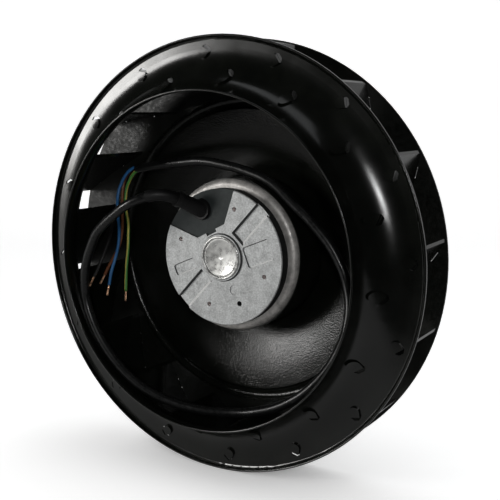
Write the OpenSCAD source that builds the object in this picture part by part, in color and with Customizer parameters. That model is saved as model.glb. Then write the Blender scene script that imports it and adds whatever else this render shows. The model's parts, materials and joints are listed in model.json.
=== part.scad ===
// Plug fan: a backward-bladed impeller on an external-rotor motor, held by the motor's flange.
// The pieces are drawn in fan coordinates, x right and y up as seen from the inlet and z along the axis
// towards the inlet, with z = 0 on the flange's mounting face. in_frame() stands the axis along Y.

/* [Impeller] */
// Outside diameter of the impeller
impeller_d = 316; // [308:1:330]
// Thickness of the sheet of shroud, backplate and blades
sheet_t = 1.5; // [1:0.1:2]
// Clear width between backplate and shroud at the outlet
outlet_w = 37.7; // [30:0.1:48]
// Gap between edges that are joined in the sheet-metal wheel
seam_gap = 0.05; // [0.02:0.01:0.2]

/* [Shroud] */
// Inside diameter of the throat
throat_d = 237; // [228:1:240]
// Radius of the bell on its front face
bell_r = 29; // [24:0.5:30]
// Straight collar in front of the bell
collar_h = 1.8; // [1.2:0.1:6]
// Distance of the shroud's flat front of the flange face
shroud_z = 5.5; // [0:0.5:15]
// Height of the rim that is turned forward, above the flat
rim_h = 3.7; // [3.5:0.1:8]
// Inside radius of the bend at the rim
rim_bend_r = 2.2; // [1:0.1:2.4]

/* [Blades] */
// Number of blades
blade_count = 16; // [8:1:18]
// Distance of the leading edge outside the throat
lead_inset = 2.5; // [2:0.1:6]
// Distance of the trailing edge inside the rim
trail_inset = 1; // [0.5:0.1:4]
// Angle of the leading edge about the axis
lead_deg = -14; // [-18:0.5:-10]
// Angle of the trailing edge about the axis
trail_deg = 7.4; // [4:0.2:10]
// Camber radius of the blade
camber_r = 400; // [250:10:800]
// Length of a folded tab along the blade
tab_w = 7; // [5:0.5:9]
// Length of a folded tab across the blade
tab_fold = 6.5; // [5:0.5:8]
// Distance of the inner tab from the leading edge, along the radius
tab_in = 10; // [8:0.5:14]
// Distance of the outer tab from the trailing edge, along the radius
tab_out = 9; // [8:0.5:12]
// Room round a tab in its slot
slot_gap = 0.4; // [0.1:0.05:0.8]
// Opening of a shroud slot behind its tab, on the outer side of the blade
slot_open = 2.4; // [1:0.1:3]

/* [Backplate] */
// Radius of the stiffening bead
bead_r = 111.5; // [109:0.5:113]
// Section radius of the bead on its front face
bead_section_r = 4.6; // [3:0.1:5]
// Slope of the funnel where it leaves the bead
bead_deg = 8; // [3:0.5:9]
// Slope of the funnel where it reaches the rotor
funnel_deg = 21; // [16:0.5:26]
// Bend radius between funnel and neck, on the front face
neck_bend_r = 4; // [3:0.5:6]
// Length of the neck that is pressed on the rotor
neck_len = 6; // [4:0.5:9]

/* [Rotor] */
// Outside diameter of the rotor cup
rotor_d = 114; // [112.8:0.2:116]
// Wall of the rotor cup
cup_wall = 2; // [1.6:0.1:2.4]
// Thickness of the cup's closed end
cup_end_t = 2.5; // [2:0.1:4]
// Depth of the cup's front edge behind the flange face
cup_front = 15; // [14.5:0.1:16]
// Room between the rear bearing and the cup's closed end
cup_end_room = 6.3; // [5:0.1:9]
// Radius of the cup's outer corner
cup_corner_r = 4; // [3:0.5:5]
// Depth of the end ring's front face behind the flange face
end_ring_front = 10.1; // [9.8:0.1:12]
// Radial width of the end rings
end_ring_w = 9; // [7:0.5:11]
// Air gap between rotor and stator stacks
air_gap = 0.4; // [0.3:0.05:0.8]

/* [Stator] */
// Diameter of the flange
flange_d = 100.7; // [98:0.1:101.4]
// Thickness of the flange
flange_t = 8.5; // [7:0.1:9.4]
// Circle of the fixing holes
fixing_pcd = 75; // [72:0.5:78]
// Radius of a fixing hole, tapped
fixing_r = 1.65; // [1.2:0.05:2.2]
// Depth of a fixing hole
fixing_depth = 7; // [4:0.5:8]
// Angle of the first fixing hole
fixing_deg = -17; // [-20:1:-14]
// Radius of the hub boss
boss_r = 17.8; // [16.5:0.1:18.5]
// Height of the hub boss
boss_h = 1.6; // [0.6:0.1:2]
// Radius of the hub cap
cap_r = 14; // [13:0.1:15]
// Thickness of the hub cap
cap_t = 1; // [0.6:0.1:1.4]
// Radius of the stator stack
stack_r = 42; // [40:0.1:42.5]
// Length of the stator stack
stack_len = 32; // [28:0.5:36]
// Depth of the stack's front behind the flange face
stack_front = 19; // [18:0.5:21]
// Number of stator slots
slot_count = 12; // [6:1:18]
// Height of a coil head
coil_h = 7.5; // [5:0.5:8]

/* [Bearings] */
// Outside diameter of a bearing
bearing_d = 22; // [21.6:0.1:22.4]
// Bore of a bearing, and shaft diameter
bearing_bore = 8; // [7:0.1:8.6]
// Width of a bearing
bearing_w = 7; // [6:0.1:8]
// Diameter of a ball
ball_d = 3.96; // [3.5:0.02:4.2]
// Number of balls
ball_count = 7; // [5:1:8]
// Wall of the bearing tube
tube_wall = 4; // [3:0.1:5]
// Depth of the front bearing behind the flange face
bearing_front = 9.5; // [9:0.1:11]

/* [Terminal] */
// Angle of the terminal insert about the axis
insert_deg = 116.5; // [110:0.5:122]
// Distance of the insert's inner edge from the axis
insert_in = 21; // [20:0.5:24]
// Half width of the insert's inner edge
insert_half = 13; // [10:0.5:15]
// Depth of the insert's face below the flange face
insert_sink = 1.5; // [0.5:0.1:3]
// Slope of the strain relief from the face
gland_deg = 55; // [50:1:60]
// Straight length of the strain relief
gland_len = 24; // [22:0.5:26]
// Radius of the strain relief at its foot
gland_foot_r = 6.5; // [6:0.1:7.5]
// Radius of the strain relief at its mouth
gland_mouth_r = 4.8; // [4.6:0.1:5.6]
// Radius of the sleeve that goes on from the strain relief
sleeve_r = 4.4; // [4:0.1:4.6]
// Radius of the elbow, at its middle line
elbow_r = 20; // [18:0.5:22]
// Angle of the elbow
elbow_deg = 60; // [55:1:65]
// Diameter of the supply cable
cable_d = 7; // [6:0.1:7.4]
// Diameter of a wire
wire_d = 2.4; // [2:0.1:2.5]
// Length of a stripped end
strip_len = 8; // [5:0.5:10]

/* [Hidden] */
BLADES = [for (i = [1:blade_count]) str("blade_", i)];

$fn = 96;
fit = 0.02;
over = 1;

black_paint = "#161616";
cast_alloy = "#b9bcbd";
bright_alloy = "#d5d6d6";
steel = "#8f9194";
lamination = "#5d6064";
copper = "#b5713a";
black_plastic = "#2a2d2e";

// Shroud: the bell is a quarter circle, tangent to the collar and to the flat
rim_r = impeller_d / 2;
throat_r = throat_d / 2;
bell_c = [throat_r + sheet_t + bell_r, shroud_z + bell_r];
lip_z = bell_c.y + collar_h;
rim_bend_c = [rim_r - sheet_t - rim_bend_r, shroud_z + rim_bend_r];

// Blades: an arc from the leading to the trailing point, its centre on the trailing side
back_z = shroud_z - sheet_t - outlet_w;
lead_r = throat_r + lead_inset;
trail_r = rim_r - trail_inset;
lead = polar(lead_r, lead_deg);
trail = polar(trail_r, trail_deg);
chord = trail - lead;
camber_c = (lead + trail) / 2
    + [-chord.y, chord.x] / norm(chord) * sqrt(pow(camber_r, 2) - pow(norm(chord) / 2, 2));
tab_radii = [lead_r + tab_in, trail_r - tab_out];
pitch_deg = 360 / blade_count;
neck_t = sheet_t * 0.8;

// Backplate: flat, bead, funnel and neck follow each other inwards, the funnel as an arc that gets steeper
rotor_r = rotor_d / 2;
bead_c = [bead_r, back_z + bead_section_r * 0.15];
bead_half = sqrt(pow(bead_section_r, 2) - pow(bead_c.y - back_z, 2));
neck_in = rotor_r + fit;
neck_c_r = neck_in + neck_bend_r;
neck_deg = funnel_deg + 12;
funnel_foot_r = neck_c_r - neck_bend_r * sin(neck_deg);
funnel_top = [bead_r - bead_half, back_z];
funnel_r = (funnel_top.x - funnel_foot_r) / (sin(funnel_deg) - sin(bead_deg));
funnel_c = funnel_top + funnel_r * [sin(bead_deg), -cos(bead_deg)];
neck_c = [neck_c_r, funnel_c.y + funnel_r * cos(funnel_deg) - neck_bend_r * cos(neck_deg)];
neck_end_z = neck_c.y - neck_len;
lap_deg = 0.05;

// Motor: depths along the axis behind the flange face
bore_r = bearing_d / 2;
shaft_r = bearing_bore / 2;
tube_r = bore_r + tube_wall;
shoulder_r = bore_r - 1.8;
front_bearing_z = [-bearing_front - bearing_w, -bearing_front];
washer_h = 1.1;
rear_stop_z = -stack_front - stack_len + 2;
rear_bearing_z = [rear_stop_z - washer_h - bearing_w, rear_stop_z - washer_h];
tube_end_z = rear_bearing_z[0];
cup_floor_z = tube_end_z - cup_end_room;
cup_end_z = cup_floor_z - cup_end_t;
stack_z = [-stack_front - stack_len, -stack_front];
rotor_bore_r = stack_r + air_gap;
cup_in_r = rotor_r - cup_wall;
end_ring_r = cup_in_r - fit - end_ring_w;
ring_edge_r = rotor_r - 0.7;
rear_ring_h = 6;
boss_in_r = 9;
nose_r = shaft_r + 1.8;
nose_h = 1.2;
end_gap = 0.02;
shaft_front_z = -3.5;
clip_t = 0.8;
clip_groove = 0.4;
clip_r = shaft_r + 1.9;
race_r = (bore_r + shaft_r) / 2;
race_gap = 0.05;
ring_wall = 2;

// Flange face: recesses of the casting
flange_r = flange_d / 2;
flange_edge = 0.6;
channel_w = 12.6;
channel_in = 19.5;
channel_deg = [47, 227];
channel_sink = 2.2;
field_sink = 0.9;
field_corner = 2;
fields = [[[31, 5.3], [23, 15.7], 22], [[-32, -9.6], [20, 8.5], 23]];
core_hole = [[36, -65], 1.9, 6];
core_mark = [[25.7, -65], 3.7, 0.5];
cap_seat = 1.4;
cap_dish = 0.9;
insert_gap = 0.1;
notch = [9, 2.2];

// Strain relief: it leans away from the axis and then bends round towards the throat
gland_turn = 136;
gland_foot = concat(polar(38.6, 118), [-insert_sink]);
gland_base_h = 2.4;
gland_base_step = 0.8;
gland_base_r = gland_foot_r + 2 * gland_base_step;
elbow_turn = 78;
gland_lean = concat(polar(sin(gland_deg), gland_turn), [-cos(gland_deg)]);
gland_side = concat(polar(1, gland_turn + 90), [0]);
gland_axis = concat(polar(cos(gland_deg), gland_turn), [sin(gland_deg)]);
elbow_dir = cos(elbow_turn) * gland_lean + sin(elbow_turn) * gland_side;
clamp_w = 3;
clamp_t = 0.7;
clamp_back = 1;
clamp_room = 0.05;

// Route of the supply cable: angle about the axis, radius, height before the flange face
cable_plan = [
    [147.5, 70.5, 35], [156, 76.5, 34.7], [163.5, 83.5, 34.2], [170, 90.5, 33.2], [177, 96, 32.2],
    [183, 101.5, 30.7], [188.5, 106.5, 29.2], [194, 110.5, 27.7], [199, 113.5, 26.7], [206, 114.5, 27],
    [213, 114.5, 27.5], [220, 114.5, 27.5], [228, 114.5, 27], [236, 114.5, 26], [245, 114.5, 23.2],
    [255, 114.5, 18], [265, 114.5, 11.5], [275.5, 114.5, 6], [288, 114.5, 4.5], [300, 114.5, 3],
    [313, 113, 0], [326, 109, -7], [338, 102.5, -14], [350, 93.5, -18.5], [4, 82.5, -19], [20, 71, -19],
    [40, 62.6, -19], [60, 62.4, -18.5], [80, 62.6, -19], [98, 66.5, -19], [113, 74, -19],
    [126, 82.5, -19], [136, 93, -19], [143, 103, -19], [146.5, 109.5, -19]];
cable_straight = 8;
cable_exit = gland_foot + (gland_len + end_gap + elbow_r * sin(elbow_deg)) * gland_axis
    + elbow_r * (1 - cos(elbow_deg)) * elbow_dir;
cable_out = cos(elbow_deg) * gland_axis + sin(elbow_deg) * elbow_dir;
cable_route = concat([cable_exit + end_gap * cable_out, cable_exit + cable_straight * cable_out],
    [for (p = cable_plan) concat(polar(p[1], p[0]), [p[2]])]);

// Routes of the four wires in x, y and z, from inside the jacket's end to the start of the bare copper
brown_route = [[-89.5, 62.2, -20.5], [-93.5, 61.5, -20.5], [-98.5, 58.5, -20], [-102.5, 53.5, -19],
    [-104, 46.5, -17.5], [-103.5, 38.5, -15.5], [-102, 30, -13], [-99.5, 21, -10], [-97.5, 11, -6.5],
    [-97.5, 0.5, -2.5], [-100.5, -8, 0.5], [-103.5, -15, 3], [-106, -22, 5.5]];
blue_route = [[-89.5, 62.2, -17.5], [-93.5, 61, -17.3], [-99, 57, -16.5], [-103, 49.5, -14.5],
    [-105, 40.5, -12], [-103.5, 31, -9], [-100, 20.5, -5.5], [-97, 11, -2.5], [-95.5, 1, 1],
    [-95.5, -9.5, 5.5], [-96, -19, 9.5], [-95.5, -28, 13]];
black_route = [[-89, 59.2, -20.5], [-92.5, 58.2, -21], [-97.5, 53.5, -22], [-102.5, 48, -22],
    [-106, 41.5, -20], [-108, 33, -16], [-108, 24, -11], [-106.5, 16, -6], [-105, 7, -0.5],
    [-105, -3.5, 6], [-106, -13.5, 11.5], [-107, -22, 17]];
earth_route = [[-89, 59.2, -17.5], [-92.5, 57.5, -17.5], [-96, 53, -17], [-99, 46, -16],
    [-99.5, 37.5, -14.5], [-98, 28, -13], [-95, 18.5, -11.5], [-93.5, 8.5, -9.5], [-92.5, -1.5, -7.5],
    [-92.5, -12.5, -5.5], [-91.5, -24, -3], [-90.5, -34.5, -1]];
cord_sides = 8;
tip_r = 0.8;
routes = [brown_route, blue_route, black_route, earth_route];

function polar(r, a) = [r * cos(a), r * sin(a)];

// Point of the blade's middle line at radius r: the meeting of two circles
function blade_point(r) =
    let (d = norm(camber_c), u = camber_c / d, a = (r * r - camber_r * camber_r + d * d) / (2 * d))
    a * u - sqrt(r * r - a * a) * [-u.y, u.x];
function blade_turn(p) = atan2(p.x - camber_c.x, camber_c.y - p.y);

// Unit vector of v, and the direction of a route at point i
function unit(v) = v / norm(v);
function heading(route, i) =
    unit(route[min(i + 1, len(route) - 1)] - route[max(i - 1, 0)]);

// Side vectors of the rings of a swept tube, each turned as little as possible from the one before
function square_to(v, t) = unit(v - (v * t) * t);
function side_vectors(route, i = 0, v = [0, 0, 1]) =
    i == len(route) ? [] :
    let (s = square_to(v, heading(route, i)))
    concat([s], side_vectors(route, i + 1, s));

module in_frame() {
    rotate([90, 0, 0])
        children();
}

module at_deg(a) {
    rotate([0, 0, a])
        children();
}

// Flat ring sector about c from angle a0 to a1, no more than half a turn
module arc_band(c, r_in, r_out, a0, a1) {
    far = 3 * r_out;
    translate(c)
        intersection() {
            difference() {
                circle(r_out);
                circle(r_in);
            }
            polygon([[0, 0], polar(far, a0), polar(far, (a0 + a1) / 2), polar(far, a1)]);
        }
}

// Rectangle between two corners
module span(low, high) {
    translate(low)
        square(high - low);
}

// Tube about the axis between heights z[0] and z[1]
module tube(r_in, r_out, z) {
    translate([0, 0, z[0]])
        difference() {
            cylinder(h = z[1] - z[0], r = r_out);
            translate([0, 0, -over])
                cylinder(h = z[1] - z[0] + 2 * over, r = r_in);
        }
}

module sweep(route, d) {
    n = len(route);
    sides = side_vectors(route);
    r = d / 2 / cos(180 / cord_sides);
    points = [for (i = [0:n - 1])
        let (t = heading(route, i), s = sides[i], w = cross(t, s))
        for (k = [0:cord_sides - 1])
            route[i] + r * (cos(360 * k / cord_sides) * s + sin(360 * k / cord_sides) * w)];
    walls = [for (i = [0:n - 2]) for (k = [0:cord_sides - 1])
        let (a = i * cord_sides + k, b = i * cord_sides + (k + 1) % cord_sides)
        each [[a, b + cord_sides, b], [a, a + cord_sides, b + cord_sides]]];
    first_end = [for (k = [0:cord_sides - 1]) k];
    last_end = [for (k = [cord_sides - 1:-1:0]) (n - 1) * cord_sides + k];
    polyhedron(points, concat(walls, [first_end, last_end]));
}

// Sheet section of the shroud in radius and height
module shroud_section() {
    edge_r = sheet_t / 2;
    lip_c = [throat_r + edge_r, lip_z - edge_r];
    rim_c = [rim_r - edge_r, shroud_z + rim_h - edge_r];
    arc_band(lip_c, 0, edge_r, 0, 180);
    span([throat_r, bell_c.y], [throat_r + sheet_t, lip_c.y]);
    arc_band(bell_c, bell_r, bell_r + sheet_t, 180, 270);
    span([bell_c.x, shroud_z - sheet_t], [rim_bend_c.x, shroud_z]);
    arc_band(rim_bend_c, rim_bend_r, rim_bend_r + sheet_t, 270, 360);
    span([rim_r - sheet_t, rim_bend_c.y], [rim_r, rim_c.y]);
    arc_band(rim_c, 0, edge_r, 0, 180);
}

// Space behind a surface that runs offset in front of the shroud's front face, out to the rim
module behind_shroud(offset) {
    difference() {
        span([lead_r, back_z], [trail_r, bell_c.y]);
        translate(bell_c)
            circle(bell_r - offset);
        span([bell_c.x, shroud_z + offset], [rim_r, bell_c.y + over]);
    }
}

module backplate_section() {
    span([bead_r + bead_half, back_z - sheet_t], [rim_r, back_z]);
    reach = 3 * bead_section_r;
    intersection() {
        difference() {
            translate(bead_c)
                circle(bead_section_r + sheet_t);
            translate(bead_c)
                circle(bead_section_r);
            polygon([funnel_top, funnel_top + polar(reach, 180 + bead_deg), funnel_top + [-reach, over]]);
        }
        span([0, back_z - reach], [rim_r, back_z]);
    }
    arc_band(funnel_c, funnel_r - sheet_t, funnel_r, 90 + bead_deg, 90 + funnel_deg + lap_deg);
    arc_band(neck_c, neck_bend_r - sheet_t, neck_bend_r, 90 + neck_deg, 180);
    span([neck_in, neck_end_z], [neck_in + sheet_t, neck_c.y]);
}

// Outline of one tab, at its place on the blade, before it is folded
module tab_place(r) {
    p = blade_point(r);
    translate(p)
        rotate(blade_turn(p))
            children();
}

module tab_neck(grow) {
    square([tab_w + 2 * grow, neck_t + 2 * grow], center = true);
}

// Outline of a shroud slot: it is open behind the tab and narrows there
module open_slot() {
    half = tab_w / 2 + slot_gap;
    front = neck_t / 2 + slot_gap;
    back = neck_t / 2 + slot_open;
    polygon([
        [-half, front], [-half, -front], [-half / 2, -back],
        [half / 2, -back], [half, -front], [half, front]]);
}

// Outline of a folded head: it lies on the inner side of the blade and has a round free end
module tab_head() {
    straight = tab_fold - tab_w / 2;
    translate([-tab_w / 2, -neck_t / 2])
        square([tab_w, straight + neck_t / 2]);
    translate([0, straight])
        circle(tab_w / 2);
}

module tab_slots(z) {
    for (i = [0:blade_count - 1])
        at_deg(i * pitch_deg)
            for (r = tab_radii)
                translate([0, 0, z[0]])
                    linear_extrude(z[1] - z[0])
                        tab_place(r)
                            children();
}

module shroud() {
    color(black_paint)
        in_frame()
            difference() {
                rotate_extrude()
                    shroud_section();
                tab_slots([shroud_z - 3 * sheet_t, bell_c.y])
                    open_slot();
            }
}

module backplate() {
    color(black_paint)
        in_frame()
            difference() {
                rotate_extrude()
                    backplate_section();
                tab_slots([back_z - 2 * sheet_t, back_z + sheet_t])
                    tab_neck(slot_gap);
            }
}

// Blade sheet between the plates
module blade_sheet() {
    height = bell_c.y - back_z;
    intersection() {
        translate([0, 0, back_z + seam_gap])
            linear_extrude(height)
                intersection() {
                    translate(camber_c)
                        difference() {
                            circle(camber_r + sheet_t / 2, $fn = 180);
                            circle(camber_r - sheet_t / 2, $fn = 180);
                        }
                    span([0, lead.y - bell_r], [rim_r + bell_r, trail.y + bell_r]);
                }
        rotate_extrude()
            behind_shroud(-sheet_t - seam_gap);
    }
}

// Neck and folded head of a tab that passes through the shroud
module front_tab(r) {
    intersection() {
        translate([0, 0, shroud_z - 3 * sheet_t])
            linear_extrude(bell_c.y - shroud_z)
                tab_place(r)
                    tab_neck(0);
        rotate_extrude()
            behind_shroud(seam_gap + sheet_t / 2);
    }
    intersection() {
        linear_extrude(bell_c.y)
            tab_place(r)
                tab_head();
        rotate_extrude()
            difference() {
                behind_shroud(seam_gap + sheet_t);
                behind_shroud(seam_gap);
            }
    }
}

// Neck and folded head of a tab that passes through the backplate
module rear_tab(r) {
    face_z = back_z - sheet_t - seam_gap;
    translate([0, 0, face_z - sheet_t / 2])
        linear_extrude(3 * sheet_t)
            tab_place(r)
                tab_neck(0);
    translate([0, 0, face_z - sheet_t])
        linear_extrude(sheet_t)
            tab_place(r)
                tab_head();
}

module blade(i) {
    color(black_paint)
        in_frame()
            at_deg((i - 1) * pitch_deg) {
                blade_sheet();
                for (r = tab_radii) {
                    front_tab(r);
                    rear_tab(r);
                }
            }
}

module rotor_cup() {
    corner_c = [rotor_r - cup_corner_r, cup_end_z + cup_corner_r];
    color(black_paint)
        in_frame()
            rotate_extrude() {
                span([cup_in_r, corner_c.y], [rotor_r, -cup_front]);
                difference() {
                    union() {
                        span([shaft_r + fit, cup_end_z], [corner_c.x, corner_c.y]);
                        arc_band(corner_c, 0, cup_corner_r, 270, 360);
                    }
                    span([0, cup_floor_z], [cup_in_r, 0]);
                }
                span([shaft_r + fit, cup_floor_z - over], [boss_in_r, tube_end_z - end_gap - nose_h]);
                span([shaft_r + fit, cup_floor_z], [nose_r, tube_end_z - end_gap]);
            }
}

module rotor_core() {
    color(lamination)
        in_frame()
            tube(rotor_bore_r, cup_in_r - fit, stack_z);
}

module front_end_ring() {
    round_r = cup_front - end_ring_front - 0.5;
    round_c = [ring_edge_r - round_r, -end_ring_front - round_r];
    color(bright_alloy)
        in_frame()
            rotate_extrude() {
                span([end_ring_r, stack_z[1] + end_gap], [cup_in_r - fit, -cup_front + end_gap]);
                span([end_ring_r, -cup_front + end_gap], [ring_edge_r, round_c.y]);
                span([end_ring_r, round_c.y], [round_c.x, -end_ring_front]);
                arc_band(round_c, 0, round_r, 0, 90);
            }
}

module rear_end_ring() {
    color(bright_alloy)
        in_frame()
            tube(end_ring_r, cup_in_r - fit, [stack_z[0] - end_gap - rear_ring_h, stack_z[0] - end_gap]);
}

module shaft() {
    clip_z = -bearing_front + end_gap;
    color(steel)
        in_frame()
            rotate_extrude() {
                span([0, cup_end_z], [shaft_r, clip_z]);
                span([0, clip_z], [shaft_r - clip_groove, clip_z + clip_t + 2 * end_gap]);
                span([0, clip_z + clip_t + 2 * end_gap], [shaft_r, shaft_front_z]);
            }
}

module retaining_ring() {
    clip_z = -bearing_front + 2 * end_gap;
    gap_w = 2 * shaft_r * 0.6;
    color(steel)
        in_frame()
            difference() {
                tube(shaft_r - clip_groove + fit, clip_r, [clip_z, clip_z + clip_t]);
                translate([0, -gap_w / 2, clip_z - over])
                    cube([2 * clip_r, gap_w, clip_t + 2 * over]);
            }
}

module bearing_ring(r_in, r_out, z) {
    color(steel)
        in_frame()
            rotate_extrude()
                difference() {
                    span([r_in, z[0]], [r_out, z[1]]);
                    translate([race_r, (z[0] + z[1]) / 2])
                        circle(ball_d / 2 + race_gap);
                }
}

module inner_ring(z) {
    bearing_ring(shaft_r + fit, shaft_r + ring_wall, z);
}

module outer_ring(z) {
    bearing_ring(bore_r - ring_wall, bore_r - fit, z);
}

module balls(z) {
    color(bright_alloy)
        in_frame()
            for (k = [0:ball_count - 1])
                at_deg(k * 360 / ball_count)
                    translate([race_r, 0, (z[0] + z[1]) / 2])
                        sphere(d = ball_d);
}

// Outline of the terminal insert about the ray along +x, grown by g, out to radius reach
module insert_outline(g, reach) {
    edge = insert_in - g;
    half = insert_half + g;
    step = notch.x / 2 + g;
    far = 2 * reach;
    wide = half + far - insert_in;
    intersection() {
        polygon([
            [edge, -half], [edge, -step], [edge - notch.y, -step], [edge - notch.y, step],
            [edge, step], [edge, half], [far, wide], [far, -wide]]);
        circle(reach);
    }
}

module field(place) {
    size = place[1];
    translate(place[0])
        rotate(place[2]) {
            square([size.x - 2 * field_corner, size.y], center = true);
            square([size.x, size.y - 2 * field_corner], center = true);
            for (x = [-1, 1])
                for (y = [-1, 1])
                    translate([x * (size.x / 2 - field_corner), y * (size.y / 2 - field_corner)])
                        circle(field_corner);
        }
}

module sunk(depth, top = 0) {
    translate([0, 0, top - depth])
        linear_extrude(depth + boss_h + over)
            children();
}

module flange_recesses() {
    for (k = [0:3])
        sunk(fixing_depth)
            translate(polar(fixing_pcd / 2, fixing_deg + 90 * k))
                circle(fixing_r);
    for (hole = [core_hole, core_mark])
        sunk(hole[2])
            translate(polar(hole[0].x, hole[0].y))
                circle(hole[1]);
    for (a = channel_deg)
        sunk(channel_sink)
            rotate(a)
                translate([channel_in, -channel_w / 2])
                    square([flange_r, channel_w]);
    for (place = fields)
        sunk(field_sink)
            field(place);
    sunk(flange_t + over)
        rotate(insert_deg)
            insert_outline(insert_gap, flange_r + over);
    sunk(cap_seat, boss_h)
        circle(cap_r + fit);
}

module stator_flange() {
    color(cast_alloy)
        in_frame()
            difference() {
                union() {
                    translate([0, 0, -flange_t])
                        cylinder(h = flange_t - flange_edge, r = flange_r);
                    translate([0, 0, -flange_edge])
                        cylinder(h = flange_edge, r1 = flange_r, r2 = flange_r - flange_edge);
                    cylinder(h = boss_h, r1 = boss_r, r2 = boss_r - boss_h / 2);
                    translate([0, 0, tube_end_z])
                        cylinder(h = -tube_end_z, r = tube_r);
                }
                flange_recesses();
                translate([0, 0, tube_end_z - over])
                    cylinder(h = -tube_end_z, r = shoulder_r);
                translate([0, 0, front_bearing_z[0] - end_gap])
                    cylinder(h = bearing_w + 2 + end_gap, r = bore_r);
                translate([0, 0, tube_end_z - over])
                    cylinder(h = rear_stop_z - tube_end_z + over, r = bore_r);
            }
}

module hub_cap() {
    floor_z = boss_h - cap_seat + end_gap;
    dish_r = (pow(cap_r - cap_t, 2) + pow(cap_dish, 2)) / (2 * cap_dish);
    color(bright_alloy)
        in_frame()
            difference() {
                translate([0, 0, floor_z])
                    cylinder(h = cap_t + 0.5, r = cap_r);
                translate([0, 0, floor_z + cap_t + 0.5 - cap_dish + dish_r])
                    sphere(dish_r, $fn = 180);
            }
}

module stator_core() {
    slot_w = 5;
    mouth_w = 2;
    slot_r = [tube_r + 7, stack_r - 3];
    color(lamination)
        in_frame()
            translate([0, 0, stack_z[0]])
                linear_extrude(stack_len)
                    difference() {
                        circle(stack_r);
                        circle(tube_r + fit);
                        for (k = [0:slot_count - 1])
                            rotate(k * 360 / slot_count) {
                                translate([slot_r[0], -slot_w / 2])
                                    square([slot_r[1] - slot_r[0], slot_w]);
                                translate([slot_r[1] - over, -mouth_w / 2])
                                    square([stack_r, mouth_w]);
                            }
                    }
}

// Coil head: a rounded ring lying on one end of the stack
module coil_head(z) {
    r = [tube_r + 6, stack_r - 2];
    c = coil_h / 3;
    color(copper)
        in_frame()
            rotate_extrude() {
                span([r[0], z + c], [r[1], z + coil_h - c]);
                span([r[0] + c, z], [r[1] - c, z + coil_h]);
                for (x = [r[0] + c, r[1] - c])
                    for (y = [z + c, z + coil_h - c])
                        translate([x, y])
                            circle(c);
            }
}

module preload_washer() {
    t = 0.5;
    rise = washer_h - t - 2 * end_gap;
    low = rear_stop_z - washer_h + end_gap;
    color(steel)
        in_frame()
            rotate_extrude()
                polygon([
                    [shoulder_r - 0.6, low + rise],
                    [bore_r - 0.3, low],
                    [bore_r - 0.3, low + t],
                    [shoulder_r - 0.6, low + rise + t]]);
}

module terminal_cover() {
    foot_z = -flange_t;
    color(black_plastic)
        in_frame()
            translate([0, 0, foot_z])
                linear_extrude(flange_t - insert_sink)
                    rotate(insert_deg)
                        insert_outline(0, flange_r - insert_gap);
}

// Places children with z along the strain relief, from its foot outwards
module along_gland() {
    translate(gland_foot)
        rotate([0, 90 - gland_deg, gland_turn])
            children();
}

module cable_gland() {
    color(black_plastic)
        in_frame() {
            intersection() {
                along_gland()
                    translate([0, 0, -gland_foot_r])
                        cylinder(h = gland_len + gland_foot_r, r1 = gland_foot_r, r2 = gland_mouth_r);
                translate([0, 0, gland_foot.z + end_gap])
                    cylinder(h = 2 * gland_len, r = 2 * flange_r);
            }
            translate([gland_foot.x, gland_foot.y, gland_foot.z + end_gap])
                cylinder(h = gland_base_h, r1 = gland_base_r, r2 = gland_base_r - gland_base_step);
        }
}

// Elbow of the strain relief: it starts along the axis and bends towards the throat
module cable_sleeve() {
    color(black_plastic)
        in_frame()
            along_gland()
                translate([0, 0, gland_len + end_gap])
                    rotate([0, 0, elbow_turn])
                        translate([elbow_r, 0, 0])
                            rotate([90, 0, 0])
                                rotate([0, 0, 180 - elbow_deg])
                                    rotate_extrude(angle = elbow_deg)
                                        translate([elbow_r, 0])
                                            circle(sleeve_r);
}

module gland_ring() {
    taper = (gland_foot_r - gland_mouth_r) / (gland_len + gland_foot_r);
    r = gland_mouth_r + taper * (clamp_back + clamp_w) + clamp_room;
    color(steel)
        in_frame()
            along_gland()
                tube(r, r + clamp_t, [gland_len - clamp_back - clamp_w, gland_len - clamp_back]);
}

module cord(route, d, tint) {
    color(tint)
        in_frame()
            sweep(route, d);
}

// Stripped copper end, going on from the last point of a wire
module wire_tip(route) {
    last = len(route) - 1;
    dir = unit(route[last] - route[last - 1]);
    translate(route[last] + dir * end_gap)
        rotate([0, acos(dir.z), atan2(dir.y, dir.x)])
            cylinder(h = strip_len, r = tip_r);
}

module wire_tips() {
    color(copper)
        in_frame()
            for (route = routes)
                wire_tip(route);
}

shroud();
backplate();
for (i = [1:blade_count]) blade(i);
rotor_cup();
rotor_core();
front_end_ring();
rear_end_ring();
shaft();
retaining_ring();
inner_ring(front_bearing_z);  // front_bearing_inner
inner_ring(rear_bearing_z);  // rear_bearing_inner
balls(front_bearing_z);  // front_bearing_balls
balls(rear_bearing_z);  // rear_bearing_balls
stator_flange();
terminal_cover();
cable_gland();
cable_sleeve();
gland_ring();
hub_cap();
stator_core();
coil_head(stack_z[1] + end_gap);  // winding_front
coil_head(stack_z[0] - end_gap - coil_h);  // winding_rear
outer_ring(front_bearing_z);  // front_bearing_outer
outer_ring(rear_bearing_z);  // rear_bearing_outer
preload_washer();
cord(cable_route, cable_d, "#1d1d1e");  // supply_cable
cord(brown_route, wire_d, "#8a4b2c");  // wire_brown
cord(blue_route, wire_d, "#2f6aa0");  // wire_blue
cord(black_route, wire_d, "#1d1d1e");  // wire_black
cord(earth_route, wire_d, "#5c9a3c");  // wire_earth
wire_tips();
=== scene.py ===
"""Looks of a plug fan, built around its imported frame: finishes, cords, small parts, backdrop, lamps, camera."""
import json
import math

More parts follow.
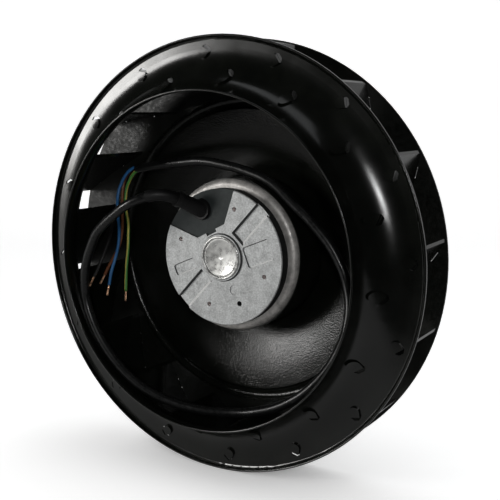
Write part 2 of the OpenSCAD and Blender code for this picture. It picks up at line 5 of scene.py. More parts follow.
import bmesh
import bpy
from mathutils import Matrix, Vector


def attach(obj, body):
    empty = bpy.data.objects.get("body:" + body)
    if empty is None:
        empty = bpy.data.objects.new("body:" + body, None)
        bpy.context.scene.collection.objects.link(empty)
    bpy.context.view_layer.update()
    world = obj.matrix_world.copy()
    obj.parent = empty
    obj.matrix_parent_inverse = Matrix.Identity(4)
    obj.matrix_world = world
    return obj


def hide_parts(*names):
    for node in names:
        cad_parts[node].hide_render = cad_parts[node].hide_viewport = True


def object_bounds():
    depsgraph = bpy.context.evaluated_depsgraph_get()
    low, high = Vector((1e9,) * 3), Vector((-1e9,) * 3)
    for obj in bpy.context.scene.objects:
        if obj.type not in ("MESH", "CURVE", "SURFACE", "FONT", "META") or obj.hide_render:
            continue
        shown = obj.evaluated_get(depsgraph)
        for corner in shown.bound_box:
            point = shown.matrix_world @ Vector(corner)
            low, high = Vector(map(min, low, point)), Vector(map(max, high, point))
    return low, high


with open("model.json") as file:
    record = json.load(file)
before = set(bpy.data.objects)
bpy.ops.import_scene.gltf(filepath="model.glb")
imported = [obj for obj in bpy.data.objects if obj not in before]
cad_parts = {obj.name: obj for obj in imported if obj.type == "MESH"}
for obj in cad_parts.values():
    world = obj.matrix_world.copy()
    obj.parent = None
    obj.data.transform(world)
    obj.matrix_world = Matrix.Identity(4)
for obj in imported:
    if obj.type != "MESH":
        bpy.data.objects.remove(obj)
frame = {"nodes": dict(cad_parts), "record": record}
nodes = frame["nodes"]
cad_low, cad_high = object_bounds()

MM = 0.001


def in_row(x, y, z):
    """A direction in fan coordinates, with z towards the inlet, in the row frame."""
    return Vector((x, -z, y))


def fan(x, y, z):
    """A point in fan coordinates, in millimetres, in the row frame."""
    return in_row(x, y, z) * MM


def polar(r, deg, z):
    """A point at a radius and an angle round the motor axis, in millimetres, in the row frame."""
    return fan(r * math.cos(math.radians(deg)), r * math.sin(math.radians(deg)), z)


# Camera, at the photograph's viewing angle
CAMERA_AT = (0.3342, -0.5197, 0.1028)
CAMERA_TURN = (81.047, 0.0, 30.82)
CAMERA_LENS, CAMERA_SENSOR = 61.92, 36
CAMERA_NEAR = 0.01

camera_data = bpy.data.cameras.new("camera")
camera_data.lens = CAMERA_LENS
camera_data.sensor_width = CAMERA_SENSOR
camera_data.clip_start = CAMERA_NEAR
camera = bpy.data.objects.new("camera", camera_data)
camera.location = CAMERA_AT
camera.rotation_euler = [math.radians(a) for a in CAMERA_TURN]
bpy.context.scene.collection.objects.link(camera)
bpy.context.scene.camera = camera


# Materials: a small kit of node helpers, then one function for each finish
class Surface:
    """A material with one Principled shader, and helpers that add nodes in front of it."""

    MIX_SOCKETS = (0, 6, 7)
    MIX_RESULT = 2

    def __init__(self, name, color, roughness, metallic=0.0, specular=0.5):
        self.material = bpy.data.materials.new(name)
        self.material.use_nodes = True
        self.tree = self.material.node_tree
        self.shader = self.tree.nodes["Principled BSDF"]
        self.set("Base Color", (*color, 1))
        self.set("Roughness", roughness)
        self.set("Metallic", metallic)
        self.set("Specular IOR Level", specular)
        coordinates = self.add("ShaderNodeTexCoord")
        self.place = coordinates.outputs["Object"]
        self.facing = coordinates.outputs["Normal"]

    def add(self, kind, **values):
        node = self.tree.nodes.new(kind)
        for key, value in values.items():
            setattr(node, key, value)
        return node

    def link(self, a, b):
        self.tree.links.new(a, b)

    def set(self, socket, value):
        self.shader.inputs[socket].default_value = value

    def drive(self, socket, output):
        self.link(output, self.shader.inputs[socket])

    def noise(self, scale, detail, rough=0.5):
        node = self.add("ShaderNodeTexNoise")
        node.inputs["Scale"].default_value = scale
        node.inputs["Detail"].default_value = detail
        node.inputs["Roughness"].default_value = rough
        self.link(self.place, node.inputs["Vector"])
        return node.outputs["Fac"]

    def ramp(self, value, stops):
        """Colours or grey levels at places between 0 and 1."""
        node = self.add("ShaderNodeValToRGB")
        band = node.color_ramp
        while len(band.elements) < len(stops):
            band.elements.new(0.5)
        for element, (at, shade) in zip(band.elements, stops):
            element.position = at
            element.color = (*shade, 1) if isinstance(shade, tuple) else (shade, shade, shade, 1)
        self.link(value, node.inputs["Fac"])
        return node.outputs["Color"]

    def patchy(self, noise, low, high, start=0.3, end=0.7):
        """Colours or grey levels that drift from low to high, where the noise goes from start to end."""
        return self.ramp(noise, [(start, low), (end, high)])

    def mix(self, factor, a, b):
        node = self.add("ShaderNodeMix", data_type="RGBA")
        for socket, value in zip(self.MIX_SOCKETS, (factor, a, b)):
            if isinstance(value, bpy.types.NodeSocket):
                self.link(value, node.inputs[socket])
            else:
                node.inputs[socket].default_value = (*value, 1) if isinstance(value, tuple) else value
        return node.outputs[self.MIX_RESULT]

    def span(self, value, low, high):
        """A value between low and high, as 0 to 1."""
        node = self.add("ShaderNodeMapRange")
        node.inputs["From Min"].default_value = low
        node.inputs["From Max"].default_value = high
        self.link(value, node.inputs["Value"])
        return node.outputs["Result"]

    def join(self, operation, a, b):
        """Two values joined by an operation of the Math node."""
        node = self.add("ShaderNodeMath", operation=operation)
        self.link(a, node.inputs[0])
        self.link(b, node.inputs[1])
        return node.outputs["Value"]

    def axis_view(self):
        """The place as seen along the motor axis: the row's x and z as x and y."""
        split = self.add("ShaderNodeSeparateXYZ")
        self.link(self.place, split.inputs["Vector"])
        flat = self.add("ShaderNodeCombineXYZ")
        self.link(split.outputs["X"], flat.inputs["X"])
        self.link(split.outputs["Z"], flat.inputs["Y"])
        return flat.outputs["Vector"]

    def bump(self, height, strength, depth, under=None):
        """Adds relief of a height map; depth is the height of its full range, in metres."""
        node = self.add("ShaderNodeBump")
        node.inputs["Strength"].default_value = strength
        node.inputs["Distance"].default_value = depth
        self.link(height, node.inputs["Height"])
        if under is not None:
            self.link(under, node.inputs["Normal"])
        self.drive("Normal", node.outputs["Normal"])
        return node.outputs["Normal"]

    def color(self, output):
        self.drive("Base Color", output)

    def roughness(self, output):
        self.drive("Roughness", output)


def scaled(tone, factor):
    return tuple(c * factor for c in tone)


PAINT_TONE = (0.004, 0.0044, 0.0037)
PAINT_DARK, PAINT_LIGHT = (0.0026, 0.0031, 0.0022), (0.0055, 0.0062, 0.0048)
PAINT_GRAIN, PLATE_GRAIN, WAVE_GRAIN = 420, 900, 90
PAINT_WAVE, PLATE_WAVE = 2.5, 0.00025
FUNNEL_GLOSS, FLAT_GLOSS = 0.26, 0.25
FLAT_ROUGH = 0.42
BEAD_EDGE, BEAD_FADE = 0.1165, 0.002


def black_coat(name, rough, specular):
    """The uneven black shared by all painted sheets, and its roughness map."""
    s = Surface(name, PAINT_TONE, rough, specular=specular)
    s.color(s.patchy(s.noise(60, 6), PAINT_DARK, PAINT_LIGHT, 0.35, 0.7))
    return s, s.patchy(s.noise(35, 5), rough * 0.8, rough * 1.25)


def paint(name, rough, peel):
    """Black paint on sheet steel, with the orange peel of a sprayed coat."""
    s, uneven = black_coat(name, rough, 0.5)
    s.roughness(uneven)
    fine = s.bump(s.noise(PAINT_GRAIN, 2), 0.5, peel)
    s.bump(s.noise(WAVE_GRAIN, 1), 0.4, peel * PAINT_WAVE, fine)
    return s.material


def plate_paint(name, rough, peel):
    """Coarser paint of the backplate: glossy in the funnel, dusty on the flat outside the bead."""
    s, funnel_rough = black_coat(name, rough, FUNNEL_GLOSS)
    radius = s.add("ShaderNodeVectorMath", operation="LENGTH")
    s.link(s.axis_view(), radius.inputs[0])
    outside = s.span(radius.outputs["Value"], BEAD_EDGE - BEAD_FADE, BEAD_EDGE + BEAD_FADE)
    s.drive("Specular IOR Level", s.ramp(outside, [(0.0, FUNNEL_GLOSS), (1.0, FLAT_GLOSS)]))
    flat_rough = s.patchy(s.noise(400, 5), FLAT_ROUGH * 0.7, FLAT_ROUGH * 1.3)
    s.roughness(s.mix(outside, funnel_rough, flat_rough))
    fine = s.bump(s.noise(PLATE_GRAIN, 2), 0.5, peel)
    s.bump(s.noise(WAVE_GRAIN, 1), 0.4, PLATE_WAVE, fine)
    return s.material


CAST_METALLIC = 0.35
CAST_BRIGHTEST = 0.95
# Facing range over which the casting's painted shade comes in
CAST_FRONT, CAST_SIDE = -0.9, -0.4


def casting(name, tone, rough):
    """Bare die-cast aluminium: speckled, with a fine cast skin, and painted shade that darkens and dulls faces
    that don't face the inlet.
    """
    s = Surface(name, tone, rough, metallic=CAST_METALLIC)
    light = tuple(min(c * 1.45, CAST_BRIGHTEST) for c in tone)
    dark = scaled(tone, 0.55)
    speckle = s.ramp(s.noise(760, 5, 0.75), [(0.38, dark), (0.5, tone), (0.62, light)])
    cloud = s.patchy(s.noise(110, 6, 0.65), dark, light, 0.32, 0.58)
    split = s.add("ShaderNodeSeparateXYZ")
    s.link(s.facing, split.inputs["Vector"])
    # Painted shade: faces turned from the inlet get a near-black colour, no metal and little gloss
    painted_shade = s.span(split.outputs["Y"], CAST_FRONT, CAST_SIDE)
    s.color(s.mix(painted_shade, s.mix(0.4, speckle, cloud), scaled(tone, 0.04)))
    s.drive("Metallic", s.ramp(painted_shade, [(0.0, CAST_METALLIC), (1.0, 0.0)]))
    s.drive("Specular IOR Level", s.ramp(painted_shade, [(0.0, 0.5), (1.0, 0.05)]))
    s.roughness(s.patchy(s.noise(900, 4), rough - 0.1, rough + 0.1))
    skin = s.bump(s.noise(1500, 4), 0.8, 0.0001)
    s.bump(s.noise(200, 4), 0.6, 0.0004, skin)
    return s.material


def turned(name, tone, rough):
    """Aluminium with the rings that a lathe tool leaves."""
    s = Surface(name, tone, rough, metallic=0.45)
    rings = s.add("ShaderNodeTexWave", wave_type="RINGS", rings_direction="SPHERICAL")
    rings.inputs["Scale"].default_value = 900
    rings.inputs["Distortion"].default_value = 1.5
    s.link(s.axis_view(), rings.inputs["Vector"])
    s.color(s.patchy(s.noise(160, 7, 0.65), scaled(tone, 0.55), tone, 0.35, 0.6))
    s.roughness(s.patchy(s.noise(400, 4), rough * 0.8, rough * 1.2))
    wear_and_highlight = s.bump(s.noise(300, 5, 0.6), 0.5, 0.0002)
    s.bump(rings.outputs["Fac"], 0.25, 0.00003, wear_and_highlight)
    return s.material


def pressed_metal(name, tone, rough):
    """Bright pressed cap, slightly wavy, with a hazy film."""
    s = Surface(name, tone, rough, metallic=0.8)
    s.color(s.patchy(s.noise(220, 5, 0.6), scaled(tone, 0.7), tone, 0.35, 0.6))
    s.roughness(s.patchy(s.noise(260, 4, 0.6), rough * 0.8, rough * 1.5, 0.35, 0.65))
    s.bump(s.noise(110, 2), 0.5, 0.0004)
    return s.material


def metal(name, tone, rough, metallic=1.0):
    """Ground steel, laminations, bare copper, cut threads, and the painted highlight on lit recess walls."""
    s = Surface(name, tone, rough, metallic=metallic)
    s.color(s.patchy(s.noise(500, 5), scaled(tone, 0.75), tone))
    s.roughness(s.patchy(s.noise(700, 3), rough * 0.8, rough * 1.3))
    s.bump(s.noise(2500, 2), 0.3, 0.00003)
    return s.material


def moulded(name, tone, rough):
    """Moulded plastic with a fine spark-eroded grain."""
    s = Surface(name, tone, rough, specular=0.3)
    s.color(s.patchy(s.noise(180, 5), scaled(tone, 0.85), scaled(tone, 1.12)))
    s.roughness(s.patchy(s.noise(600, 3), rough - 0.08, rough + 0.08))
    s.bump(s.noise(2600, 2), 0.6, 0.00006)
    return s.material


def vinyl(name, tone, rough):
    """Extruded cable insulation, a little dusty."""
    s = Surface(name, tone, rough, specular=0.35)
    s.color(s.patchy(s.noise(240, 6, 0.6), scaled(tone, 0.85), scaled(tone, 1.2), 0.35, 0.75))
    s.roughness(s.patchy(s.noise(300, 4), rough - 0.06, rough + 0.1))
    s.bump(s.noise(900, 3), 0.4, 0.00005)
    return s.material


FINISHES = {
    "black_paint": paint("black_paint", 0.19, 0.000012),
    "rotor_paint": paint("rotor_paint", 0.2, 0.00004),
    "cast_alloy": casting("cast_alloy", (0.47, 0.48, 0.48), 0.6),
    "end_ring_alloy": turned("end_ring_alloy", (0.62, 0.6, 0.575), 0.5),
    "bright_cap": pressed_metal("bright_cap", (0.6, 0.6, 0.585), 0.28),
    "steel": metal("steel", (0.5, 0.51, 0.52), 0.3),
    "lamination": metal("lamination", (0.3, 0.31, 0.32), 0.45),
    "copper": metal("copper", (0.8, 0.5, 0.32), 0.3),
    "terminal_plastic": moulded("terminal_plastic", (0.026, 0.032, 0.032), 0.6),
    "gland_plastic": moulded("gland_plastic", (0.005, 0.005, 0.0052), 0.5),
    "cable_jacket": vinyl("cable_jacket", (0.005, 0.0053, 0.0053), 0.3),
    "wire_brown": vinyl("wire_brown", (0.16, 0.055, 0.022), 0.35),
    "wire_blue": vinyl("wire_blue", (0.025, 0.13, 0.32), 0.35),
    "wire_black": vinyl("wire_black", (0.014, 0.014, 0.014), 0.35),
    "wire_earth": vinyl("wire_earth", (0.07, 0.26, 0.05), 0.35),
}
EARTH_STRIPE = vinyl("earth_stripe", (0.55, 0.48, 0.1), 0.35)
THREAD_METAL = metal("thread_metal", (0.9, 0.78, 0.76), 0.35, 0.6)
# Bright alloy on recess walls that face the light: a painted highlight
LIT_WALL_ALLOY = metal("lit_wall_alloy", (0.93, 0.93, 0.92), 0.55, 0.0)

# Nodes whose finish departs from that of their material slot
OWN_FINISH = {
    "backplate": plate_paint("plate_paint", 0.19, 0.00033),
    "gland_ring": moulded("dark_clamp", (0.012, 0.012, 0.012), 0.35),
}

for row in frame["record"]["subparts"]:
    target = nodes[row["node"]]
    target.data.materials.clear()
    target.data.materials.append(OWN_FINISH.get(row["node"], FINISHES[row["material_slot"]]))

# Strain relief: where the supply cable starts
GLAND_TURN, GLAND_SLOPE, GLAND_LEN = 136, 55, 24
GLAND_FOOT = polar(38.6, 118, -1.5) / MM
ELBOW_R, ELBOW_DEG, ELBOW_TURN = 20, 60, 78
END_GAP = 0.02

slope, turn = math.radians(GLAND_SLOPE), math.radians(GLAND_TURN)
gland_axis = in_row(math.cos(slope) * math.cos(turn), math.cos(slope) * math.sin(turn), math.sin(slope))
gland_lean = in_row(math.sin(slope) * math.cos(turn), math.sin(slope) * math.sin(turn), -math.cos(slope))
gland_side = in_row(-math.sin(turn), math.cos(turn), 0)
elbow_turn, elbow = math.radians(ELBOW_TURN), math.radians(ELBOW_DEG)
elbow_dir = math.cos(elbow_turn) * gland_lean + math.sin(elbow_turn) * gland_side
cable_exit = GLAND_FOOT + (GLAND_LEN + END_GAP + ELBOW_R * math.sin(elbow)) * gland_axis
cable_exit += ELBOW_R * (1 - math.cos(elbow)) * elbow_dir
cable_out = math.cos(elbow) * gland_axis + math.sin(elbow) * elbow_dir

# Cord routes, listed point by point: the cable by angle, radius and height, the wires by x, y and height, in mm
CABLE_D = 7
WIRE_D = 2.4
CABLE_STRAIGHT = 8
CABLE_PLAN = [
    (147.5, 70.5, 35), (156, 76.5, 34.7), (163.5, 83.5, 34.2), (170, 90.5, 33.2), (177, 96, 32.2),
    (183, 101.5, 30.7), (188.5, 106.5, 29.2), (194, 110.5, 27.7), (199, 113.5, 26.7), (206, 114.5, 27),
    (213, 114.5, 27.5), (220, 114.5, 27.5), (228, 114.5, 27), (236, 114.5, 26), (245, 114.5, 23.2),
    (255, 114.5, 18), (265, 114.5, 11.5), (275.5, 114.5, 6), (288, 114.5, 4.5), (300, 114.5, 3),
    (313, 113, 0), (326, 109, -7), (338, 102.5, -14), (350, 93.5, -18.5), (4, 82.5, -19), (20, 71, -19),
    (40, 62.6, -19), (60, 62.4, -18.5), (80, 62.6, -19), (98, 66.5, -19), (113, 74, -19),
    (126, 82.5, -19), (136, 93, -19), (143, 103, -19), (146.5, 109.5, -19)]
WIRE_ROUTES = {
    "brown": [
        (-89.5, 62.2, -20.5), (-93.5, 61.5, -20.5), (-98.5, 58.5, -20), (-102.5, 53.5, -19),
        (-104, 46.5, -17.5), (-103.5, 38.5, -15.5), (-102, 30, -13), (-99.5, 21, -10), (-97.5, 11, -6.5),
        (-97.5, 0.5, -2.5), (-100.5, -8, 0.5), (-103.5, -15, 3), (-106, -22, 5.5)],
    "blue": [
        (-89.5, 62.2, -17.5), (-93.5, 61, -17.3), (-99, 57, -16.5), (-103, 49.5, -14.5),
        (-105, 40.5, -12), (-103.5, 31, -9), (-100, 20.5, -5.5), (-97, 11, -2.5), (-95.5, 1, 1),
        (-95.5, -9.5, 5.5), (-96, -19, 9.5), (-95.5, -28, 13)],
    "black": [
        (-89, 59.2, -20.5), (-92.5, 58.2, -21), (-97.5, 53.5, -22), (-102.5, 48, -22),
        (-106, 41.5, -20), (-108, 33, -16), (-108, 24, -11), (-106.5, 16, -6), (-105, 7, -0.5),
        (-105, -3.5, 6), (-106, -13.5, 11.5), (-107, -22, 17)],
    "earth": [
        (-89, 59.2, -17.5), (-92.5, 57.5, -17.5), (-96, 53, -17), (-99, 46, -16),
        (-99.5, 37.5, -14.5), (-98, 28, -13), (-95, 18.5, -11.5), (-93.5, 8.5, -9.5), (-92.5, -1.5, -7.5),
        (-92.5, -12.5, -5.5), (-91.5, -24, -3), (-90.5, -34.5, -1)],
}
cable_route = [(cable_exit + END_GAP * cable_out) * MM, (cable_exit + CABLE_STRAIGHT * cable_out) * MM]
cable_route += [polar(r, deg, z) for deg, r, z in CABLE_PLAN]


# Pieces: helpers for curves and meshes
CORD_STEPS, CORD_ROUND = 8, 6


def cord_curve(name, points, diameter, finish):
    """A cord as one smooth open curve with a round section."""
    data = bpy.data.curves.new(name, "CURVE")
    data.dimensions = "3D"
    data.resolution_u = CORD_STEPS
    data.bevel_depth = diameter * MM / 2
    data.bevel_resolution = CORD_ROUND
    data.use_fill_caps = True
    spline = data.splines.new("BEZIER")
    spline.bezier_points.add(len(points) - 1)
    for knot, place in zip(spline.bezier_points, points):
        knot.co = place
        knot.handle_left_type = knot.handle_right_type = "AUTO"
    data.materials.append(finish)
    piece = bpy.data.objects.new(name, data)
    bpy.context.scene.collection.objects.link(piece)
    return piece


def smooth_line(points, steps):
    """Points of a Catmull-Rom curve through the given ones."""
    ends = [2 * points[0] - points[1], *points, 2 * points[-1] - points[-2]]
    line = []
    for a, b, c, d in zip(ends, ends[1:], ends[2:], ends[3:]):
        for k in range(steps):
            t = k / steps
            line.append(0.5 * (2 * b + (c - a) * t + (2 * a - 5 * b + 4 * c - d) * t ** 2
                               + (3 * b - a - 3 * c + d) * t ** 3))
    return line + [points[-1]]


def tube_rings(line, radius, sides, twist=0.0):
    """Rings of points round a line, each turned as little as possible from the one before."""
    rings = []
    side = Vector((0, 1, 0))
    for i, centre in enumerate(line):
        along = (line[min(i + 1, len(line) - 1)] - line[max(i - 1, 0)]).normalized()
        side = (side - side.dot(along) * along).normalized()
        across = along.cross(side)
        turns = [2 * math.pi * k / sides + twist * i for k in range(sides)]
        rings.append([centre + radius * (math.cos(a) * side + math.sin(a) * across) for a in turns])
    return rings


def mesh_piece(name, build, *finishes):
    """A new object from a bmesh that build fills."""
    mesh = bpy.data.meshes.new(name)
    bm = bmesh.new()
    build(bm)
    bmesh.ops.recalc_face_normals(bm, faces=bm.faces)
    bm.to_mesh(mesh)
    bm.free()
    for finish in finishes:
        mesh.materials.append(finish)
    piece = bpy.data.objects.new(name, mesh)
    bpy.context.scene.collection.objects.link(piece)
    return piece


def skin_rings(bm, rings, pick=None):
    """Faces between successive rings, with closed ends; pick gives a face's material from its side."""
    made = [[bm.verts.new(p) for p in ring] for ring in rings]
    count = len(rings[0])
    for a, b in zip(made, made[1:]):
        for k in range(count):
            face = bm.faces.new((a[k], a[(k + 1) % count], b[(k + 1) % count], b[k]))
            face.smooth = True
            if pick:
                face.material_index = pick(k)
    for end in (made[0], made[-1]):
        bm.faces.new(end)


def ride_stator(piece, slot, *replaced):
    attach(piece, "stator")
    if replaced:
        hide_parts(*replaced)


# Cords: the supply cable, and four wires with stripped ends
STRIP_LEN = 8
STRAND_COUNT = 6
STRAND_R, STRAND_RING_R = 0.27, 0.52
STRAND_TURN = 70
STRAND_STEPS, STRAND_SIDES = 12, 8
EARTH_STEPS, EARTH_SIDES, EARTH_TWIST = 6, 24, 0.05
STRIPE_EVERY, STRIPE_WIDTH = 12, 5


def stranded_tip(name, start, along):
    """Stripped end of a wire: fine strands, twisted round a middle one."""
    side = along.orthogonal().normalized()
    across = along.cross(side)

    def build(bm):
        for k in range(STRAND_COUNT + 1):
            ring_r = 0 if k == STRAND_COUNT else STRAND_RING_R * MM
            line = []
            for i in range(STRAND_STEPS + 1):
                a = 2 * math.pi * k / STRAND_COUNT + math.radians(STRAND_TURN) * i / STRAND_STEPS
                line.append(start + along * (END_GAP + STRIP_LEN * i / STRAND_STEPS) * MM
                            + ring_r * (math.cos(a) * side + math.sin(a) * across))
            skin_rings(bm, tube_rings(line, STRAND_R * MM, STRAND_SIDES))

    return mesh_piece(name, build, FINISHES["copper"])


def earth_wire(name, points):
    """The green wire with yellow stripes along it, and its centre line."""
    line = smooth_line(points, EARTH_STEPS)

    def build(bm):
        skin_rings(bm, tube_rings(line, WIRE_D * MM / 2, EARTH_SIDES, EARTH_TWIST),
                   lambda k: 1 if k % STRIPE_EVERY < STRIPE_WIDTH else 0)

    return mesh_piece(name, build, FINISHES["wire_earth"], EARTH_STRIPE), line


cable = cord_curve("cord_supply", cable_route, CABLE_D, FINISHES["cable_jacket"])
ride_stator(cable, "cable_jacket", "supply_cable")

for tone, route in WIRE_ROUTES.items():
    points = [fan(*p) for p in route]
    slot = "wire_" + tone
    path = None
    if tone == "earth":
        wire, path = earth_wire("cord_" + tone, points)
    else:
        wire = cord_curve("cord_" + tone, points, WIRE_D, FINISHES[slot])
    ride_stator(wire, slot, slot)
    tip = stranded_tip("tip_" + tone, points[-1], (points[-1] - points[-2]).normalized())
    ride_stator(tip, "copper", "wire_tips")


# Threads in the four fixing holes of the flange
FIXING_COUNT, FIXING_PCD, FIXING_DEG, FIXING_R = 4, 75, -17, 1.65
THREAD_PITCH, THREAD_DEPTH = 0.7, 0.28
THREAD_TURNS, THREAD_SIDES = 7, 24
THREAD_TOP = 0.45
THREAD_GAP = 0.03


def thread_piece(name, deg):
    """The ridge of a tapped hole: a triangular section that winds down from just below the face."""
    centre = polar(FIXING_PCD / 2, deg, 0)
    wall_r = FIXING_R - THREAD_GAP
    foot = THREAD_PITCH / 2 - THREAD_GAP
    rings = []
    for k in range(THREAD_TURNS * THREAD_SIDES + 1):
        a = 2 * math.pi * k / THREAD_SIDES
        z = -THREAD_TOP - THREAD_PITCH * k / THREAD_SIDES
        section = [(wall_r, z + foot), (wall_r, z - foot), (wall_r - THREAD_DEPTH, z)]
        rings.append([centre + fan(r * math.cos(a), r * math.sin(a), h) for r, h in section])
    return mesh_piece(name, lambda bm: skin_rings(bm, rings), THREAD_METAL)


for k in range(FIXING_COUNT):
    ride_stator(thread_piece("thread_%d" % (k + 1), FIXING_DEG + 360 / FIXING_COUNT * k), "cast_alloy")


# Drafted walls in the flange's recesses: a wedge along each straight wall, those facing the light with a painted
# highlight
CHANNELS_DEG = (47, 227)
CHANNEL_IN, CHANNEL_OUT, CHANNEL_HALF, CHANNEL_SINK = 19.5, 49.2, 6.3, 2.2
# Text fields, left bare: centre, size and angle
FIELDS = [((31, 5.3), (23, 15.7), 22), ((-32, -9.6), (20, 8.5), 23)]
FIELD_SINK, FIELD_CORNER = 0.9, 2
DRAFT_GAP = 0.03
STEEP, SHALLOW = 0.5, 1.0


def draft_wedge(bm, start, end, depth):
    """A wedge that leans on the wall from start to end, with the recess on the left of that line.

    Walls that face up and left are shallow and carry a painted highlight in bright alloy, the others steep and
    dull in the casting's painted shade.
    """
    along = (end - start).normalized()
    inward = Vector((-along.y, along.x))
    # Walls facing up and left take the painted highlight material
    wear_and_highlight = inward.x < 0 < inward.y
    width = depth * (SHALLOW if wear_and_highlight else STEEP)
    floor_z = DRAFT_GAP - depth
    section = [(DRAFT_GAP, -DRAFT_GAP), (DRAFT_GAP, floor_z), (width, floor_z)]
    rings = [[fan(*(at + inward * w), z) for w, z in section] for at in (start, end)]
    skin_rings(bm, rings, lambda k: 1 if wear_and_highlight else 0)


def turned_point(x, y, deg, centre=(0, 0)):
    """A point of the flange's face, turned about a centre, in millimetres."""
    a = math.radians(deg)
    return Vector((centre[0] + x * math.cos(a) - y * math.sin(a),
                   centre[1] + x * math.sin(a) + y * math.cos(a)))


def build_drafts(bm):
    near = CHANNEL_IN + STEEP * CHANNEL_SINK
    for deg in CHANNELS_DEG:
        for a, b in (((CHANNEL_OUT, CHANNEL_HALF), (near, CHANNEL_HALF)),
                     ((CHANNEL_IN, CHANNEL_HALF), (CHANNEL_IN, -CHANNEL_HALF)),
                     ((near, -CHANNEL_HALF), (CHANNEL_OUT, -CHANNEL_HALF))):
            draft_wedge(bm, turned_point(*a, deg), turned_point(*b, deg), CHANNEL_SINK)
    for centre, size, deg in FIELDS:
        far_x, far_y = size[0] / 2, size[1] / 2
        x, y = far_x - FIELD_CORNER, far_y - FIELD_CORNER
        for a, b in (((-x, -far_y), (x, -far_y)), ((far_x, -y), (far_x, y)),
                     ((x, far_y), (-x, far_y)), ((-far_x, y), (-far_x, -y))):
            draft_wedge(bm, turned_point(*a, deg, centre), turned_point(*b, deg, centre), FIELD_SINK)
    for face in bm.faces:
        face.smooth = False


ride_stator(mesh_piece("cast_drafts", build_drafts, FINISHES["cast_alloy"], LIT_WALL_ALLOY), "cast_alloy")


# Rolled rim round the hub cap
CAP_R, BOSS_H = 14, 1.6
BEZEL_R = 1.1
BEZEL_STEPS, BEZEL_SIDES = 96, 16


def build_bezel(bm):
    ring_r = CAP_R + BEZEL_R
    loops = []
    for k in range(BEZEL_STEPS):
        deg = 360 * k / BEZEL_STEPS
        loop = []
        for i in range(BEZEL_SIDES):
            a = 2 * math.pi * i / BEZEL_SIDES
            at = polar(ring_r + BEZEL_R * math.cos(a), deg, BOSS_H + BEZEL_R * math.sin(a))
            loop.append(bm.verts.new(at))
        loops.append(loop)
    for a, b in zip(loops, loops[1:] + loops[:1]):
        for i in range(BEZEL_SIDES):
            j = (i + 1) % BEZEL_SIDES
            bm.faces.new((a[i], a[j], b[j], b[i])).smooth = True


ride_stator(mesh_piece("cap_bezel", build_bezel, FINISHES["bright_cap"]), "bright_cap")


# Floor and backdrop: one white sweep behind and under the fan, turned to face the camera
FLOOR_Z = cad_low.z
SWEEP_FRONT, SWEEP_BACK = -0.32, 1.1
SWEEP_R, SWEEP_STEPS = 0.5, 12
SWEEP_TOP, SWEEP_HALF = 2.2, 2.6
SHADE_REACH, SHADE_SAMPLES = 0.12, 8
SHADE_LEVELS = [(0.0, 0.12), (0.5, 0.5), (1.0, 0.8)]
MIRROR_REACH = 0.25
MIRROR_LEVELS = [(0.0, 0.05), (0.4, 0.1), (0.5, 0.22), (1.0, 0.45)]
camera_turn = math.radians(CAMERA_TURN[2])
forward = Vector((-math.sin(camera_turn), math.cos(camera_turn), 0))
sideways = Vector((forward.y, -forward.x, 0))


def build_sweep(bm):
    profile = [(SWEEP_FRONT, 0.0), (SWEEP_BACK, 0.0)]
    for k in range(1, SWEEP_STEPS + 1):
        a = math.pi / 2 * k / SWEEP_STEPS
        profile.append((SWEEP_BACK + SWEEP_R * math.sin(a), SWEEP_R * (1 - math.cos(a))))
    profile.append((SWEEP_BACK + SWEEP_R, SWEEP_TOP))
    rows = []
    for w, h in profile:
        at = forward * w + Vector((0, 0, FLOOR_Z + h))
        rows.append([bm.verts.new(at - sideways * SWEEP_HALF), bm.verts.new(at + sideways * SWEEP_HALF)])
    for a, b in zip(rows, rows[1:]):
        bm.faces.new((a[0], a[1], b[1], b[0])).smooth = True


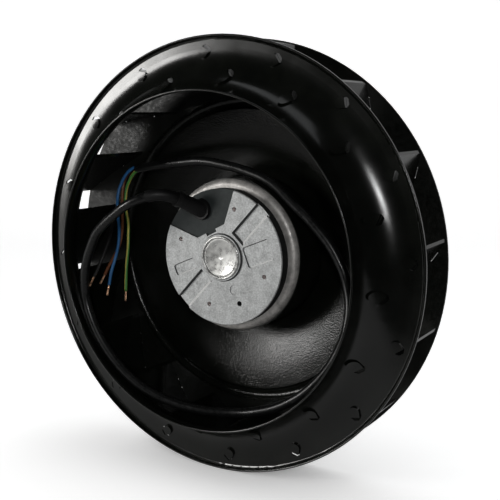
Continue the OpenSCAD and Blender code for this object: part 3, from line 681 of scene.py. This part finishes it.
def sweep_finish():
    """White paper with a painted glow: bright to the camera, a painted dimming in reflections in front of the
    fan, and a painted shadow close to the fan.
    """
    s = Surface("backdrop", (0.8, 0.8, 0.8), 0.9, specular=0.1)
    s.color(s.patchy(s.noise(3, 2), 0.78, 0.82))
    # Painted shadow: ambient occlusion dims the glow close to the fan
    shade = s.add("ShaderNodeAmbientOcclusion", samples=SHADE_SAMPLES)
    shade.inputs["Distance"].default_value = SHADE_REACH
    glow = s.add("ShaderNodeEmission")
    s.link(s.ramp(shade.outputs["AO"], SHADE_LEVELS), glow.inputs["Color"])
    # Painted dimming: the glow seen in reflections falls off towards the front
    depth = s.add("ShaderNodeVectorMath", operation="DOT_PRODUCT")
    depth.inputs[1].default_value = forward
    s.link(s.place, depth.inputs[0])
    behind = s.span(depth.outputs["Value"], -MIRROR_REACH, MIRROR_REACH)
    rays = s.add("ShaderNodeLightPath").outputs
    mirrored = s.join("MULTIPLY", rays["Is Glossy Ray"], s.ramp(behind, MIRROR_LEVELS))
    direct = s.join("MAXIMUM", rays["Is Camera Ray"], rays["Is Transmission Ray"])
    s.link(s.join("MAXIMUM", direct, mirrored), glow.inputs["Strength"])
    both = s.add("ShaderNodeAddShader")
    s.link(s.shader.outputs["BSDF"], both.inputs[0])
    s.link(glow.outputs["Emission"], both.inputs[1])
    s.link(both.outputs["Shader"], s.tree.nodes["Material Output"].inputs["Surface"])
    return s.material


sweep = mesh_piece("backdrop", build_sweep, sweep_finish())

# Surroundings: white where the camera looks past the sweep, and a dim fill for the fan
WORLD_FILL = 0.02
WORLD_TINT = (0.95, 0.98, 1.0)
world = bpy.data.worlds.new("studio")
world.use_nodes = True
sky = world.node_tree
sky.nodes["Background"].inputs["Color"].default_value = (*WORLD_TINT, 1)
sky_rays = sky.nodes.new("ShaderNodeLightPath")
sky_level = sky.nodes.new("ShaderNodeMath")
sky_level.operation = "MAXIMUM"
sky_level.inputs[1].default_value = WORLD_FILL
sky.links.new(sky_rays.outputs["Is Camera Ray"], sky_level.inputs[0])
sky.links.new(sky_level.outputs[0], sky.nodes["Background"].inputs["Strength"])
bpy.context.scene.world = world


def lamp(name, at, aim, size, power, tint=(1, 1, 1)):
    """A rectangular soft box; size is its width and height in metres."""
    data = bpy.data.lights.new(name, "AREA")
    data.shape = "RECTANGLE"
    data.size, data.size_y = size
    data.energy = power
    data.color = tint
    box = bpy.data.objects.new(name, data)
    box.location = at
    box.rotation_euler = (Vector(aim) - Vector(at)).to_track_quat("-Z", "Y").to_euler()
    bpy.context.scene.collection.objects.link(box)


lamp("key", at=(-1.125, -1.207, 0.235), aim=(0, 0, 0.1), size=(0.325, 0.53), power=11.8,
     tint=(1.0, 0.99, 0.97))
lamp("front", at=(0.67, -1.03, 0.36), aim=(0.1, 0, 0.05), size=(0.09, 0.3), power=4)
lamp("rear", at=(1.05, 1.05, 0.4), aim=(0, 0, 0), size=(0.6, 0.7), power=3)
lamp("top", at=(0.1, 0.45, 1.5), aim=(0, 0.1, 0), size=(1.4, 1.0), power=3.2, tint=(0.95, 0.98, 1.0))

bpy.context.scene.view_settings.view_transform = "Standard"
